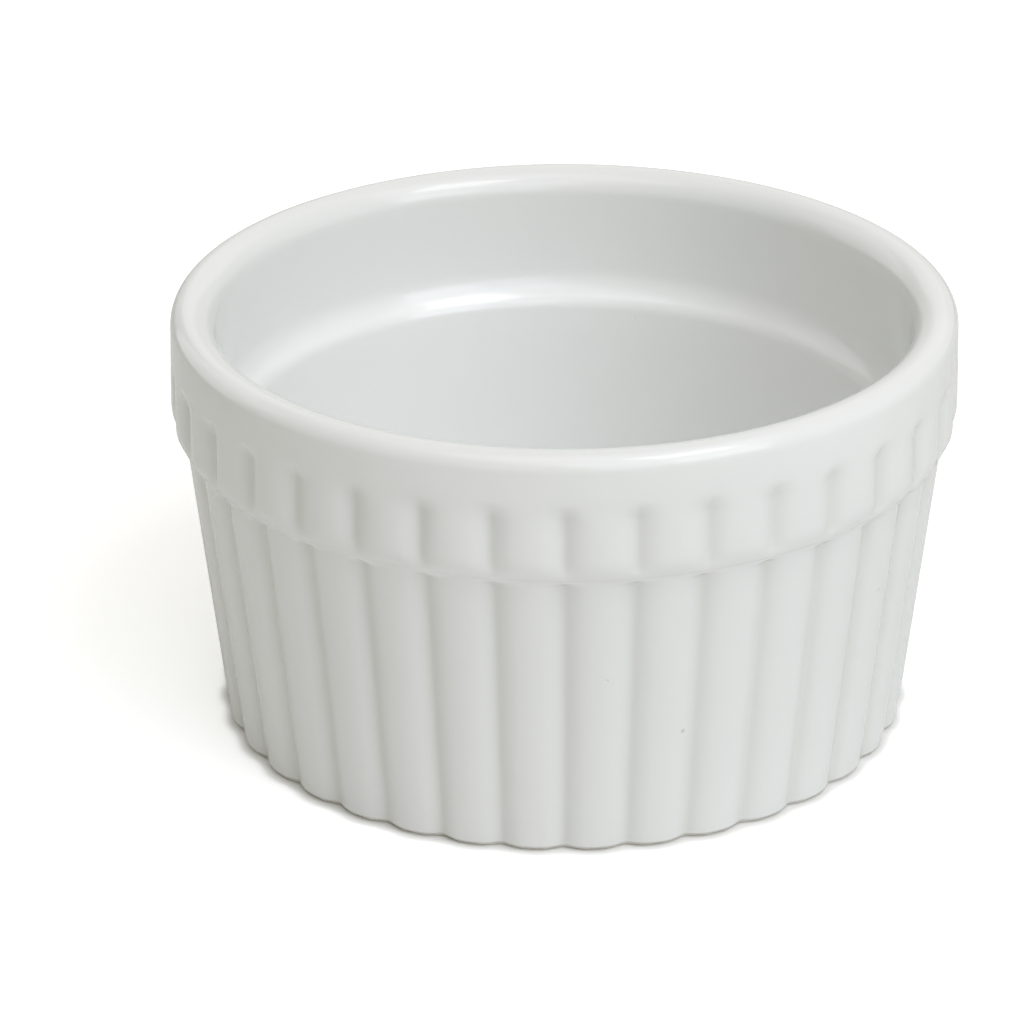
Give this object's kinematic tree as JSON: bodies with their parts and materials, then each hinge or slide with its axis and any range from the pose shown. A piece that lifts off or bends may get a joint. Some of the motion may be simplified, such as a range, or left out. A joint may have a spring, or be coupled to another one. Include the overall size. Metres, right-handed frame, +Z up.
{
  "type": "ramekin",
  "caption": "Round white porcelain ramekin with a fluted wall, a thicker fluted collar under a smooth rim band, and a sloping ledge inside. Holds a single serving in the oven.",
  "frame": {"origin": "centre of the foot ring's resting face, on the axis of the dish", "axes": "+Z up along the axis of the dish, from the foot to the rim; the middle of one groove faces -Y"},
  "size_m": [0.0904, 0.0904, 0.05],
  "materials": {
    "biscuit": "matte",
    "glaze": "glossy"
  },
  "bodies": {
    "root": {"porcelain_body": "biscuit", "glaze_coat": "glaze", "glaze_base": "glaze"}
  },
  "joints": []
}
